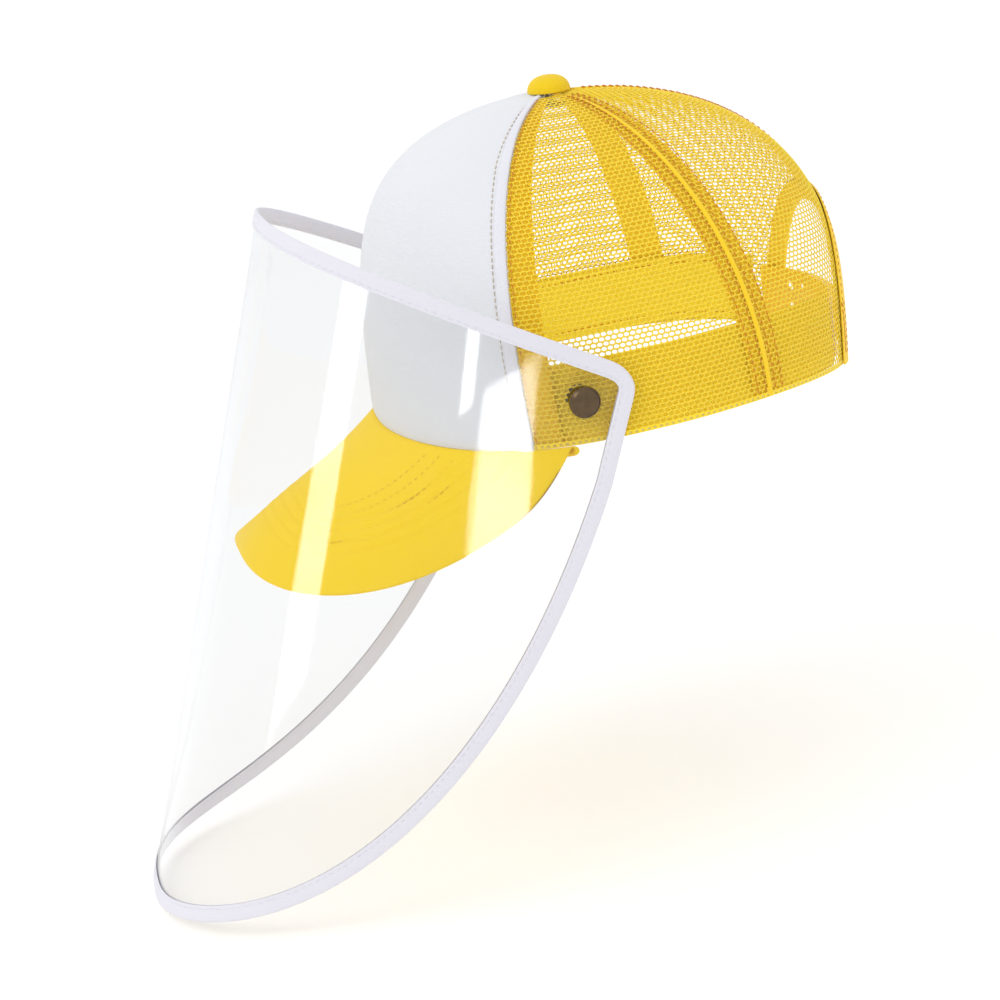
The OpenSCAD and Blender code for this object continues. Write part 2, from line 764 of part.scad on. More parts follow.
// ---------------------------------------------------------------- output
front_foam();
front_lining();
front_strip_left();
front_strip_right();
side_mesh_left();
side_mesh_right();
back_mesh_left();
back_mesh_right();
seam_tape_front_left();
seam_tape_front_right();
seam_tape_side_left();
seam_tape_side_right();
seam_tape_back();
sweatband();
visor_top_cover();
visor_board();
visor_under_cover();
crown_button();
button_core();
button_rivet();
button_washer();
arch_binding();
peg_strap();
hole_strap();
shield_film();
shield_binding();
snap_post_left();
snap_post_right();
snap_stud_left();
snap_stud_right();
snap_socket_left();
snap_socket_right();
snap_cap_left();
snap_cap_right();
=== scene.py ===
# %% [markdown]
# # A mesh-back cap with a clear face shield
# The engineering model gives every piece its place. This lesson dresses it: sewn cloth, an open
# net, moulded straps, brass snaps and a bent film. Cloth pieces are rebuilt as fine grids,
# because a coarse solid shows its flat faces. Hard pieces keep their exact shape.

# %% Load the frame
import math

import bpy
import numpy as np
from mathutils import Matrix, Vector


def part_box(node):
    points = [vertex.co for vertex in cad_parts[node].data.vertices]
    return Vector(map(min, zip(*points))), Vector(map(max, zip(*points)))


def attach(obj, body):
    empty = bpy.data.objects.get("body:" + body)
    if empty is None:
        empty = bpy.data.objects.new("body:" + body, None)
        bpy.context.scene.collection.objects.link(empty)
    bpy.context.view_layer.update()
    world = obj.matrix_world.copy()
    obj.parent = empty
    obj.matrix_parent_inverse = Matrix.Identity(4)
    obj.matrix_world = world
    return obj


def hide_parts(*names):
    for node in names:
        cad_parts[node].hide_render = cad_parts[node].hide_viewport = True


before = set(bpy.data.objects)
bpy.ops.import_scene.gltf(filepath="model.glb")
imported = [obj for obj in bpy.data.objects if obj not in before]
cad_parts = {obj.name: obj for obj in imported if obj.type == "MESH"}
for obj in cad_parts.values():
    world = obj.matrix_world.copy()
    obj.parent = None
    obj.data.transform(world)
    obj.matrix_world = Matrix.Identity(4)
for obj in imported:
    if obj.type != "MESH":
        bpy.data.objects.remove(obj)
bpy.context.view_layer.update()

MM = 0.001

# %% [markdown]
# ## Camera
# The cap is looked at from its left side, a little from the front and from above. A long lens
# keeps the perspective mild. The camera is set by its own right, up and back directions, which
# makes the small roll easy to give.

# %% Camera
def aim_camera(azimuth, elevation, roll, right_mm, up_mm, distance_mm, lens):
    az, el, ro = (math.radians(v) for v in (azimuth, elevation, roll))
    back = Vector((math.sin(az) * math.cos(el), -math.cos(az) * math.cos(el), math.sin(el)))
    right = Vector((math.cos(az), math.sin(az), 0))
    up = back.cross(right)
    r = math.cos(ro) * right + math.sin(ro) * up
    u = math.cos(ro) * up - math.sin(ro) * right
    data = bpy.data.cameras.new("camera")
    data.lens, data.sensor_width = lens, 36
    data.clip_start, data.clip_end = 0.02, 50
    camera = bpy.data.objects.new("camera", data)
    bpy.context.scene.collection.objects.link(camera)
    turn = Matrix((r, u, back)).transposed().to_4x4()
    camera.matrix_world = Matrix.Translation((right_mm * r + up_mm * u + distance_mm * back) * MM) @ turn
    bpy.context.scene.camera = camera
    return camera


camera = aim_camera(78.84, 17.0, -7.94, -45.8, -50.0, 1051, 90.1)
eye = camera.matrix_world.translation.copy()
print("camera at", [round(v, 3) for v in eye])

# %% [markdown]
# ## Meshes from grids
# A sewn panel is a sheet with two faces and a thin edge. One helper makes such a sheet from a
# grid of outer points and a matching grid of inner points. It also lays the cloth flat: the
# texture coordinates are millimetres measured along the surface, so every weave has its true
# scale. The same job could be done with modifiers, but points from a formula stay exact.

# %% Mesh helpers
def unit(v):
    return v / np.maximum(np.linalg.norm(v, axis=-1, keepdims=True), 1e-12)


def mesh_object(name, points, faces, flat=None, sharp=40):
    mesh = bpy.data.meshes.new(name)
    mesh.from_pydata((np.asarray(points) * MM).tolist(), [], np.asarray(faces).tolist())
    if flat is not None:
        corner = np.zeros(len(mesh.loops), np.int32)
        mesh.loops.foreach_get("vertex_index", corner)
        layer = mesh.uv_layers.new(name="cloth_mm")
        layer.data.foreach_set("uv", np.asarray(flat, np.float32)[corner].ravel())
    mesh.polygons.foreach_set("use_smooth", np.ones(len(mesh.polygons), bool))
    mesh.update()
    mesh.set_sharp_from_angle(angle=math.radians(sharp))
    piece = bpy.data.objects.new(name, mesh)
    bpy.context.scene.collection.objects.link(piece)
    return piece


def lay_flat(grid):
    """Millimetres along the rows and up the columns of a grid of points."""
    across = np.linalg.norm(np.diff(grid, axis=1), axis=-1)
    u = np.concatenate([np.zeros((len(grid), 1)), np.cumsum(across, 1)], 1)
    u -= u[:, grid.shape[1] // 2][:, None]
    up = np.linalg.norm(np.diff(grid, axis=0), axis=-1).mean(1)
    v = np.concatenate([[0], np.cumsum(up)])[:, None] + np.zeros_like(u)
    return np.stack([u, v], -1)


def two_faced(name, outer, inner, ring=False, sharp=40):
    """A closed sheet. Seen from outside, columns run right and rows run up. ring closes the columns."""
    rows, cols = outer.shape[:2]
    i = np.arange(rows * cols).reshape(rows, cols)
    if ring:
        i = np.concatenate([i, i[:, :1]], 1)
    j = i + rows * cols
    quad = lambda a, b, c, d: np.stack([a.ravel(), b.ravel(), c.ravel(), d.ravel()], 1)
    faces = [quad(i[:-1, :-1], i[:-1, 1:], i[1:, 1:], i[1:, :-1]),
             quad(j[:-1, :-1], j[1:, :-1], j[1:, 1:], j[:-1, 1:]),
             quad(i[0, :-1], j[0, :-1], j[0, 1:], i[0, 1:]),
             quad(i[-1, :-1], i[-1, 1:], j[-1, 1:], j[-1, :-1])]
    if not ring:
        faces += [quad(i[:-1, 0], i[1:, 0], j[1:, 0], j[:-1, 0]),
                  quad(i[:-1, -1], j[:-1, -1], j[1:, -1], i[1:, -1])]
    flat = lay_flat(outer).reshape(-1, 2)
    points = np.concatenate([outer.reshape(-1, 3), inner.reshape(-1, 3)])
    return mesh_object(name, points, np.concatenate(faces), np.concatenate([flat, flat]), sharp)


def mirrored(piece, name):
    """The matching piece on the wearer's right."""
    other = piece.copy()
    other.data = piece.data.copy()
    other.name = other.data.name = name
    other.data.transform(Matrix.Diagonal((-1, 1, 1, 1)))
    other.data.flip_normals()
    bpy.context.scene.collection.objects.link(other)
    return other


def dress(piece, body, material, slot, *stands_for):
    """Gives a finished piece its material and its body, and hides the nodes it stands for; slot is not used."""
    piece.data.materials.clear()
    piece.data.materials.append(material)
    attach(piece, body)
    if stands_for:
        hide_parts(*stands_for)
    return piece


def dress_pair(piece, body, material, slot, *stems):
    """Dresses a left piece and its mirror image."""
    stem = piece.name.rsplit("_", 1)[0]
    right = mirrored(piece, stem + "_right")
    dress(piece, body, material, slot, *[s + "_left" for s in stems])
    dress(right, body, material, slot, *[s + "_right" for s in stems])
    return piece, right


# %% [markdown]
# ## Thread
# Stitches are what makes a sewn thing look sewn. Each one is a small capsule that dives into
# the cloth at both ends. A row of them is one mesh. A texture of dashes would be cheaper, but
# it would not catch the light.

# %% Stitch rows
def measured(path):
    return np.concatenate([[0], np.cumsum(np.linalg.norm(np.diff(path, axis=0), axis=1))])


def stitch_row(name, path, normal, length=2.4, gap=0.9, radius=0.28):
    along = measured(path)
    starts = np.arange(gap, along[-1] - length - gap, length + gap)
    share = np.array([0, 0.08, 0.3, 0.5, 0.7, 0.92, 1.0])
    place = starts[:, None] + share[None, :] * length
    at = lambda values: np.stack([np.interp(place, along, values[:, k]) for k in range(3)], -1)
    centre, out = at(path), unit(at(normal))
    ahead = unit(np.gradient(path, axis=0))
    side = unit(np.cross(at(ahead), out))
    hump = np.sin(np.pi * share)[None, :, None]
    centre = centre + out * radius * (0.9 * hump - 0.5)
    girth = radius * np.sqrt(np.clip(1 - (2 * share - 1) ** 6, 0.05, 1))[None, :, None, None]
    turn = np.arange(6) * np.pi / 3
    spoke = (side[:, :, None] * np.cos(turn)[None, None, :, None]
             + out[:, :, None] * np.sin(turn)[None, None, :, None])
    points = centre[:, :, None] + spoke * girth
    n, rings = len(starts), len(share)
    index = np.arange(n * rings * 6).reshape(n, rings, 6)
    nxt = np.roll(index, -1, 2)
    faces = np.stack([index[:, :-1], index[:, 1:], nxt[:, 1:], nxt[:, :-1]], -1).reshape(-1, 4)
    caps = [index[:, 0, :4], index[:, 0, [0, 3, 4, 5]], index[:, -1, 3::-1], index[:, -1, [5, 4, 3, 0]]]
    faces = np.concatenate([faces] + [c.reshape(-1, 4) for c in caps])
    flat = np.stack([np.repeat(place.ravel(), 6), np.tile(turn, n * rings)], 1)
    return mesh_object(name, points.reshape(-1, 3), faces, flat, 180)


# %% [markdown]
# ## The crown as a formula
# The crown has no flat part, so it is described by two angles: one round the head from the
# front towards the wearer's left, and one that climbs from the lower edge to the button. The
# numbers are the same ones that the engineering model uses, so the cloth lies where its
# solids are. A subdivision cage is the other way to do it, but its seams would wander.

# %% Crown surface
OPENING_L, OPENING_W, CROWN_H = 200, 167, 124
RIM_WAVE, RIM_EX, BUTTON_FWD = 2, 2.2, 10


def around(t, front, side, back):
    c = np.cos(np.radians(t))
    return side + (np.where(c > 0, front, back) - side) * c * c


def power(v, e):
    return np.sign(v) * np.abs(v) ** e


def rim_xy(t):
    a = np.radians(t)
    return OPENING_W / 2 * power(np.sin(a), 2 / RIM_EX), -OPENING_L / 2 * power(np.cos(a), 2 / RIM_EX)


def rim_z(t):
    return RIM_WAVE * np.cos(3 * np.radians(t))


def crown(t, a):
    t, a = np.broadcast_arrays(np.asarray(t, float), np.asarray(a, float))
    x, y = rim_xy(t)
    up = np.sin(np.radians(a))
    out = np.maximum(1 - up ** around(t, 5, 1.8, 3.1), 0) ** (1 / around(t, 2.05, 1.8, 2))
    push = around(t, 5.5, 0, 7.3) * up * out
    z = rim_z(t) * (1 - up) + CROWN_H * up
    return np.stack([x * out, (y + BUTTON_FWD) * out - BUTTON_FWD + push, z], -1)


def crown_out(t, a):
    along = crown(t + 0.5, a) - crown(t - 0.5, a)
    climb = crown(t, np.asarray(a) + 0.5) - crown(t, np.maximum(np.asarray(a) - 0.5, 0))
    return unit(np.cross(along, climb))


def on_crown(t, a, lift):
    return crown(t, a) + crown_out(t, a) * np.asarray(lift)[..., None]


def climb_at(t, height):
    return np.degrees(np.arcsin(np.clip(height / (CROWN_H - rim_z(t)), 0, 1)))


def climb_top(t, hole):
    x, y = rim_xy(t)
    reach = hole / np.hypot(x, y + BUTTON_FWD)
    return np.degrees(np.arcsin((1 - reach ** around(t, 2.05, 1.8, 2)) ** (1 / around(t, 5, 1.8, 3.1))))


FRONT_SEAM = lambda s: 61 - 8.5 * s
SIDE_SEAM = lambda s: 115 - 4 * s
BACK_SEAM = lambda s: 180 + 0 * s
print("crown height", CROWN_H, "button at", crown(0, 90).round(1))


# %% Lines and ribbons that follow a seam
def beside(seam, s, offset, hole=8.75):
    """Both angles of a point that lies offset mm beside a seam, s of the way up."""
    t = seam(s)
    a = climb_top(t, hole) * s
    per_degree = np.linalg.norm(crown(t + 0.5, a) - crown(t - 0.5, a), axis=-1)
    return t + offset / np.maximum(per_degree, 0.05), a


def seam_path(seam, offset, lift, low=0.01, high=0.995, count=220):
    s = np.linspace(low, high, count)
    t, a = beside(seam, s, offset * np.minimum(1, (1.15 - s) * 2.2))
    return on_crown(t, a, np.full_like(t, lift)), crown_out(t, a)


def seam_ribbon(name, seam, left, right, depth, thick, low=0.004, puff=0.0, rows=90, cols=11):
    s = np.linspace(low, 1, rows)[:, None]
    k = np.linspace(0, 1, cols)[None, :]
    narrow = 1 - 0.55 * s ** 3
    t, a = beside(seam, s, (left + (right - left) * k) * narrow)
    dome = puff * np.sqrt(np.clip(1 - (2 * k - 1) ** 2, 0, 1)) + 0 * s
    edge = 0.22 * thick * (np.abs(2 * k - 1) > 0.95) + 0 * s
    return two_faced(name, on_crown(t, a, -depth + dome - edge), on_crown(t, a, -depth - thick + edge))


# %% [markdown]
# ## Finishes
# Cloth, plastic, metal and film each get one small recipe. A cloth recipe mixes a slow change
# of colour, a weave and a fibre noise, then uses the weave again as relief. Image textures
# would repeat and need files; node recipes stay sharp at any size.

# %% Material helpers
def new_finish(name):
    material = bpy.data.materials.new(name)
    material.use_nodes = True
    tree = material.node_tree
    shader = tree.nodes["Principled BSDF"]
    return material, tree, shader


def add(tree, kind, **values):
    node = tree.nodes.new(kind)
    for key, value in values.items():
        if key.startswith("in_"):
            node.inputs[key[3:].replace("_", " ")].default_value = value
        else:
            setattr(node, key, value)
    return node


def wire(tree, *pairs):
    for out, into in pairs:
        tree.links.new(out, into)


def colour_mix(tree, amount, a, b, blend="MIX"):
    node = tree.nodes.new("ShaderNodeMix")
    node.data_type, node.blend_type = "RGBA", blend
    for socket, value in ((node.inputs[0], amount), (node.inputs[6], a), (node.inputs[7], b)):
        if isinstance(value, (tuple, list)):
            socket.default_value = (*value, 1)
        elif isinstance(value, (int, float)):
            socket.default_value = value
        else:
            tree.links.new(value, socket)
    return node.outputs[2]


def sum_of(tree, operation, a, b):
    node = tree.nodes.new("ShaderNodeMath")
    node.operation = operation
    for socket, value in zip(node.inputs, (a, b)):
        if isinstance(value, (int, float)):
            socket.default_value = value
        else:
            tree.links.new(value, socket)
    return node.outputs[0]


# %% [markdown]
# ### Cloth
# `pitch` is the distance between threads in millimetres and `slant` turns a plain weave into
# a twill. Sheen adds the soft light that loose fibres give at the edge of a fold.

# %% Cloth recipe
def cloth(name, light, deep, pitch=0.8, slant=False, relief=0.25, rough=0.85, sheen=0.25, stain=0.5):
    material, tree, shader = new_finish(name)
    flat = add(tree, "ShaderNodeUVMap", uv_map="cloth_mm").outputs[0]
    warp = add(tree, "ShaderNodeTexWave", bands_direction="DIAGONAL" if slant else "X",
               in_Scale=(0.62 if slant else 0.314) / pitch, in_Distortion=0.6, in_Detail=1.0)
    weft = add(tree, "ShaderNodeTexWave", bands_direction="Y", in_Scale=0.314 / pitch, in_Distortion=0.6)
    fibre = add(tree, "ShaderNodeTexNoise", in_Scale=2.6, in_Detail=3.0, in_Roughness=0.7)
    cloud = add(tree, "ShaderNodeTexNoise", in_Scale=0.035, in_Detail=3.0)
    wire(tree, *[(flat, n.inputs["Vector"]) for n in (warp, weft, fibre, cloud)])
    weave = sum_of(tree, "MULTIPLY", warp.outputs["Fac"], weft.outputs["Fac"])
    height = sum_of(tree, "ADD", weave, sum_of(tree, "MULTIPLY", fibre.outputs["Fac"], 0.6))
    tone = sum_of(tree, "MULTIPLY", cloud.outputs["Fac"], stain)
    body = colour_mix(tree, tone, light, deep)
    grain = sum_of(tree, "MULTIPLY", sum_of(tree, "SUBTRACT", 1.0, height), 0.22)
    colour = colour_mix(tree, grain, body, deep)
    bump = add(tree, "ShaderNodeBump", in_Strength=relief, in_Distance=0.0004)
    wire(tree, (height, bump.inputs["Height"]), (bump.outputs[0], shader.inputs["Normal"]),
         (colour, shader.inputs["Base Color"]))
    rough_map = add(tree, "ShaderNodeMapRange", in_To_Min=rough - 0.08, in_To_Max=min(rough + 0.06, 1))
    wire(tree, (fibre.outputs["Fac"], rough_map.inputs["Value"]),
         (rough_map.outputs[0], shader.inputs["Roughness"]))
    shader.inputs["Sheen Weight"].default_value = sheen
    shader.inputs["Sheen Roughness"].default_value = 0.5
    shader.inputs["Specular IOR Level"].default_value = 0.25
    return material


knit_white = cloth("knit_white", (0.72, 0.735, 0.77), (0.66, 0.675, 0.72), 0.9, relief=0.18, stain=0.35)
strip_white = cloth("strip_white", (0.76, 0.76, 0.81), (0.68, 0.68, 0.75), 0.7, slant=True, relief=0.3)
lining_white = cloth("lining_white", (0.74, 0.75, 0.78), (0.66, 0.67, 0.70), 0.6, relief=0.2)
net_yellow = cloth("net_yellow", (1.0, 0.76, 0.035), (0.97, 0.66, 0.020), 0.35, relief=0.35, sheen=0.3)
tape_yellow = cloth("tape_yellow", (1.0, 0.70, 0.022), (0.96, 0.58, 0.012), 0.7, slant=True, relief=0.5)
band_yellow = cloth("band_yellow", (1.0, 0.78, 0.040), (0.97, 0.69, 0.022), 0.8, relief=0.4)
visor_yellow = cloth("visor_yellow", (0.97, 0.685, 0.008), (0.93, 0.61, 0.005), 0.6, slant=True, relief=0.22,
                     sheen=0.05)
button_yellow = cloth("button_yellow", (0.84, 0.60, 0.010), (0.77, 0.48, 0.006), 0.6, relief=0.3, sheen=0.1)
thread_yellow = cloth("thread_yellow", (0.80, 0.30, 0.006), (0.62, 0.18, 0.004), 0.35, relief=0.5)
thread_visor = cloth("thread_visor", (0.86, 0.56, 0.012), (0.78, 0.45, 0.008), 0.35, relief=0.5)
thread_tan = cloth("thread_tan", (0.62, 0.50, 0.36), (0.50, 0.39, 0.27), 0.35, relief=0.5)
thread_white = cloth("thread_white", (0.84, 0.84, 0.90), (0.76, 0.76, 0.82), 0.35, relief=0.5)
binding_white = cloth("binding_white", (0.76, 0.75, 0.81), (0.68, 0.67, 0.75), 0.8, relief=0.35)
print("cloth finishes:", len(bpy.data.materials))

# %% [markdown]
# ### Plastic, metal and board
# These nodes keep their exact solids, which carry no flat layout, so their recipes measure in
# space instead. Scratches and tarnish come from noise.

# %% Hard finishes
def hard(name, light, deep, rough=(0.25, 0.4), metal=0.0, scale=90, relief=0.05, coat=0.0, stretch=(1, 1, 1)):
    material, tree, shader = new_finish(name)
    place = add(tree, "ShaderNodeTexCoord").outputs["Object"]
    scaled = add(tree, "ShaderNodeMapping")
    scaled.inputs["Scale"].default_value = stretch
    patch = add(tree, "ShaderNodeTexNoise", in_Scale=scale, in_Detail=4.0)
    fine = add(tree, "ShaderNodeTexNoise", in_Scale=scale * 18, in_Detail=3.0)
    wire(tree, (place, scaled.inputs["Vector"]), (scaled.outputs[0], patch.inputs["Vector"]),
         (scaled.outputs[0], fine.inputs["Vector"]))
    colour = colour_mix(tree, patch.outputs["Fac"], light, deep)
    rough_map = add(tree, "ShaderNodeMapRange", in_To_Min=rough[0], in_To_Max=rough[1])
    bump = add(tree, "ShaderNodeBump", in_Strength=relief, in_Distance=0.0003)
    wire(tree, (colour, shader.inputs["Base Color"]), (fine.outputs["Fac"], rough_map.inputs["Value"]),
         (rough_map.outputs[0], shader.inputs["Roughness"]), (fine.outputs["Fac"], bump.inputs["Height"]),
         (bump.outputs[0], shader.inputs["Normal"]))
    shader.inputs["Metallic"].default_value = metal
    shader.inputs["Coat Weight"].default_value = coat
    return material


strap_plastic = hard("strap_plastic", (0.93, 0.60, 0.015), (0.90, 0.52, 0.010), (0.28, 0.42), scale=25)
tin = hard("tinned_steel", (0.62, 0.62, 0.64), (0.42, 0.42, 0.44), (0.22, 0.4), 1.0, 200)
antique = hard("antique_brass", (0.15, 0.105, 0.06), (0.08, 0.055, 0.035), (0.16, 0.30), 1.0, 260, 0.08)
board = hard("visor_board_pale", (0.72, 0.66, 0.50), (0.64, 0.58, 0.42), (0.5, 0.7), scale=60)

# %% [markdown]
# ### Film
# Thin clear film bends light so little that real refraction would only add noise. Most light
# goes straight through a nearly white filter, and the rest is mirrored. The mirrored share
# follows the angle, as it does on any clear sheet.

# %% Film finish
def film_finish():
    material, tree, shader = new_finish("clear_film")
    out = tree.nodes["Material Output"]
    flat = add(tree, "ShaderNodeUVMap", uv_map="cloth_mm").outputs[0]
    through = add(tree, "ShaderNodeBsdfTransparent", in_Color=(0.960, 0.962, 0.964, 1))
    angle = add(tree, "ShaderNodeLayerWeight", in_Blend=0.5)
    smear = add(tree, "ShaderNodeTexNoise", in_Scale=0.02, in_Detail=4.0, in_Distortion=0.8)
    ripple = add(tree, "ShaderNodeTexNoise", in_Scale=0.012, in_Detail=1.0)
    wire(tree, (flat, smear.inputs["Vector"]), (flat, ripple.inputs["Vector"]))
    haze = add(tree, "ShaderNodeMapRange", in_From_Min=0.45, in_From_Max=0.8, in_To_Min=0.0, in_To_Max=0.006)
    wire(tree, (smear.outputs["Fac"], haze.inputs["Value"]))
    steep = sum_of(tree, "MULTIPLY", sum_of(tree, "POWER", angle.outputs["Facing"], 4.5), 0.8)
    share = sum_of(tree, "ADD", sum_of(tree, "ADD", steep, 0.014), haze.outputs[0])
    bump = add(tree, "ShaderNodeBump", in_Strength=0.25, in_Distance=0.004)
    wire(tree, (ripple.outputs["Fac"], bump.inputs["Height"]), (bump.outputs[0], shader.inputs["Normal"]),
         (bump.outputs[0], angle.inputs["Normal"]))
    shader.inputs["Base Color"].default_value = (0.97, 0.98, 1.0, 1)
    shader.inputs["Metallic"].default_value = 1.0
    shader.inputs["Roughness"].default_value = 0.06
    mix = add(tree, "ShaderNodeMixShader")
    wire(tree, (share, mix.inputs[0]), (through.outputs[0], mix.inputs[1]), (shader.outputs[0], mix.inputs[2]),
         (mix.outputs[0], out.inputs["Surface"]))
    return material


clear_film = film_finish()

# %% [markdown]
# ## Front panel
# One piece of foam with white knit glued on it. Foam keeps the front tall and smooth. Its
# edges are pinched where they are sewn, and a soft crease runs up the middle from folding
# flat for shipping. Both are small moves of the grid along its own outward direction.

# %% Foam and lining
def front_grid(cols, rows, hole):
    s = np.linspace(0, 1, rows)[:, None]
    k = np.linspace(-1, 1, cols)[None, :]
    t = FRONT_SEAM(s) * k
    return t, climb_top(t, hole) * s, s + 0 * k


t, a, s = front_grid(181, 121, 4)
from_seam = (FRONT_SEAM(s) - np.abs(t)) * np.linalg.norm(crown(t + 0.5, a) - crown(t - 0.5, a), axis=-1)
height = crown(t, a)[..., 2]
pinch = 0.9 * np.exp(-from_seam / 1.6) + 1.1 * np.exp(-(height - height.min(0)) / 1.8)
crease = 0.7 * np.exp(-(np.abs(t) / 2.2) ** 1.2) * np.clip((height - 45) / 30, 0, 1)
slack = 0.35 * np.sin(height / 17 + t / 16) * np.sin(t / 19 + 1.3) * np.clip(from_seam / 20, 0, 1)
FOAM_T, LINING_T, GLUE_GAP = 2.6, 0.5, 0.15
foam_back = on_crown(t, a, np.full_like(t, -FOAM_T))
foam = two_faced("front_panel", on_crown(t, a, crease + slack - pinch), foam_back)
dress(foam, "cap", knit_white, "foam_face", "front_foam")

t, a, s = front_grid(91, 61, 5)
lining_out = on_crown(t, a, np.full_like(t, -FOAM_T - GLUE_GAP))
lining_in = on_crown(t, a, np.full_like(t, -FOAM_T - GLUE_GAP - LINING_T))
lining = two_faced("front_lining_cloth", lining_out, lining_in)
dress(lining, "cap", lining_white, "lining", "front_lining")
print("foam panel vertices:", len(foam.data.vertices))

# %% Edge strips and their tan topstitch
strip = seam_ribbon("edge_strip_left", FRONT_SEAM, -5.0, -0.1, -0.05, 0.5, low=0.0, puff=0.55)
dress_pair(strip, "cap", strip_white, "edge_strip", "front_strip")
row = stitch_row("strip_thread_left", *seam_path(FRONT_SEAM, -5.6, 0.05, 0.02, 0.96), 1.9, 0.7, 0.2)
dress_pair(row, "cap", thread_tan, "edge_strip")

# %% [markdown]
# ## Net
# The side and back panels are warp-knitted net with staggered holes. Each hole is a ring of
# eight small faces, and neighbours share the points on the thread's centre line. The threads
# are raised on both faces, so they look round. An alpha pattern would be lighter, but it
# would go flat at the edge of the crown, where the holes close up.

# %% Net builder
def net_panel(name, left, right, keep, pitch=(2.5, 1.9), hole=(2.14, 1.5)):
    top = float(climb_top((left(0.5) + right(0.5)) / 2, 7.5))
    climb = np.linspace(0, top, 500)
    middle = lambda a: (left(a / top) + right(a / top)) / 2
    up_len = measured(crown(middle(climb), climb))
    rows = int(up_len[-1] / pitch[1])
    level = np.arange(4 * rows + 1) * pitch[1] / 4
    level_a = np.interp(level, up_len, climb)
    reach, step = 70.0, 0.5
    places = np.arange(-reach, reach + step, step)
    table = np.zeros((len(level), len(places)))
    for n, a in enumerate(level_a):
        t = np.linspace(left(a / top) - 8, right(a / top) + 8, 240)
        u = measured(crown(t, np.full_like(t, a)))
        table[n] = np.interp(places, u - np.interp(middle(a), t, u), t)

    def angles(u, v):
        x = np.clip((u + reach) / step, 0, len(places) - 1.001)
        y = np.clip(v / (pitch[1] / 4), 0, len(level) - 1.001)
        i, j = y.astype(int), x.astype(int)
        fx, fy = x - j, y - i
        low = table[i, j] * (1 - fx) + table[i, j + 1] * fx
        high = table[i + 1, j] * (1 - fx) + table[i + 1, j + 1] * fx
        a = np.interp(v, up_len, climb)
        t = low * (1 - fy) + high * fy
        l, r = left(a / top), right(a / top)
        return np.clip(t, l, r), a, (t > l + 0.05) & (t < r - 0.05) & (v > 0.01)

    i, j = np.meshgrid(np.arange(rows), np.arange(-30, 31), indexing="ij")
    i, j = i.ravel(), j.ravel()
    u, v = (j + 0.5 * (i % 2)) * pitch[0], (i + 0.5) * pitch[1]
    t, a, inside = angles(u, v)
    good = inside & keep(t, (CROWN_H - rim_z(t)) * np.sin(np.radians(a)))
    i, j, u, v = i[good], j[good], u[good], v[good]
    du = np.array([1, 1, 0, -1, -1, -1, 0, 1])
    dv = np.array([0, 1, 1, 1, 0, -1, -1, -1])
    ku = (2 * j + i % 2)[:, None] + du[None]
    kv = (2 * i + 1)[:, None] + dv[None]
    key, ring = np.unique((ku + 500) * 4096 + kv, return_inverse=True)
    ring = ring.reshape(ku.shape)
    lu, lv = (key // 4096 - 500) * pitch[0] / 2, (key % 4096) * pitch[1] / 2
    t, a, free = angles(lu, lv)
    bulge = np.where(free, 0.26, 0.02)
    upper, lower = on_crown(t, a, -0.5 + bulge), on_crown(t, a, -0.5 - bulge)
    round_off = np.where(du * dv == 0, 1.0, 0.74)
    wide = np.where(v < 2.5, 0.12, 1.0)[:, None]
    hu = u[:, None] + du * round_off * wide * hole[0] / 2
    hv = v[:, None] + dv * round_off * wide * hole[1] / 2
    t, a, free = angles(hu.ravel(), hv.ravel())
    rim = on_crown(t, a, np.full_like(t, -0.5))
    n = len(key)
    hole_id = 2 * n + np.arange(len(u) * 8).reshape(-1, 8)
    nxt, hole_nxt = np.roll(ring, -1, 1), np.roll(hole_id, -1, 1)
    faces = np.concatenate([np.stack([ring, nxt, hole_nxt, hole_id], -1).reshape(-1, 4),
                            np.stack([nxt + n, ring + n, hole_id, hole_nxt], -1).reshape(-1, 4)])
    flat = np.concatenate([np.stack([lu, lv], 1), np.stack([lu, lv], 1), np.stack([hu.ravel(), hv.ravel()], 1)])
    return mesh_object(name, np.concatenate([upper, lower, rim]), faces, flat, 180)


# %% Arch of the back opening
ARCH_H, ARCH_W, ARCH_EX = 64, 76, 2.2
arch_half = math.degrees(math.asin((ARCH_W / OPENING_W) ** (RIM_EX / 2)))


def arch_height(t):
    k = np.minimum(np.abs(180 - np.abs(t)) / arch_half, 1)
    return ARCH_H * (1 - k ** ARCH_EX) ** (1 / ARCH_EX)


side_net = net_panel("side_net_left", FRONT_SEAM, SIDE_SEAM, lambda t, h: h > -1)
dress_pair(side_net, "cap", net_yellow, "mesh", "side_mesh")
back_net = net_panel("back_net_left", SIDE_SEAM, BACK_SEAM,
                     lambda t, h: h > arch_height(t) + 1.5 * (t > 180 - arch_half))
dress_pair(back_net, "cap", net_yellow, "mesh", "back_mesh")
print("net faces:", 2 * (len(side_net.data.polygons) + len(back_net.data.polygons)))

# %% [markdown]
# ## Seam tapes
# Raw net frays, so a woven tape covers every seam on the inside. From outside it shows through
# the holes as a darker solid band. Each tape is a thin ribbon that follows its seam. The
# narrow welt on the outside is the folded net itself, held by two rows of stitches.

